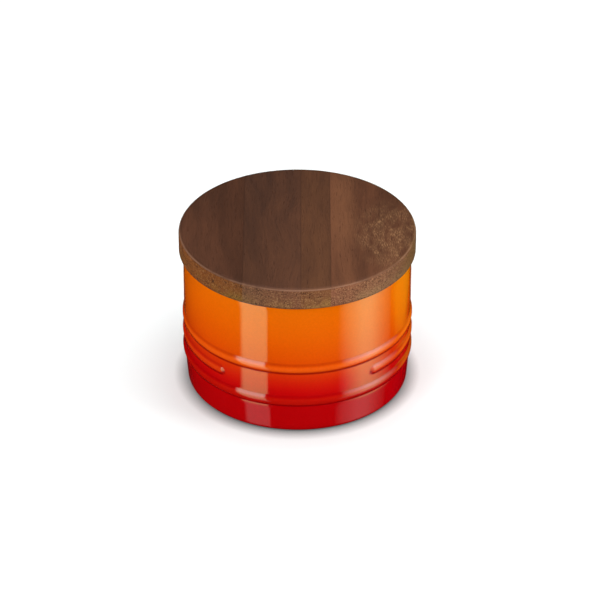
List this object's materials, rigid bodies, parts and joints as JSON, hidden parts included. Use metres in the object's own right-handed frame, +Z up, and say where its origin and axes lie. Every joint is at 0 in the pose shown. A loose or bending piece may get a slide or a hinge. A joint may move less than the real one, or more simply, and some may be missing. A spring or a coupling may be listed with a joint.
{
  "type": "storage jar",
  "caption": "Round glazed stoneware storage jar with ribs moulded low on its wall and a flat wooden lid that lifts off, sealed by a soft lipped ring on its plug.",
  "frame": {"origin": "centre of the footprint, on the plane that the foot ring stands on", "axes": "+Z up along the axis of the jar, front of the jar (the bare stretch between the ends of the middle rib) towards -Y, lid boards' grain along Y"},
  "size_m": [0.122, 0.122, 0.0877],
  "materials": {
    "orange_glaze": "gloss",
    "walnut_board_1": "oiled",
    "walnut_board_2": "oiled",
    "walnut_board_3": "oiled",
    "walnut_board_4": "oiled",
    "seal_silicone": "matt translucent white"
  },
  "bodies": {
    "jar": {"jar_body": "orange_glaze"},
    "lid": {"lid_board_1": "walnut_board_1", "lid_board_2": "walnut_board_2", "lid_board_3": "walnut_board_3", "lid_board_4": "walnut_board_4", "seal_ring": "seal_silicone"}
  },
  "joints": [
    {"name": "lid_lift", "type": "slide", "parent": "jar", "child": "lid", "axis": [0, 0, 1], "range_m": [0, 0.08]}
  ]
}
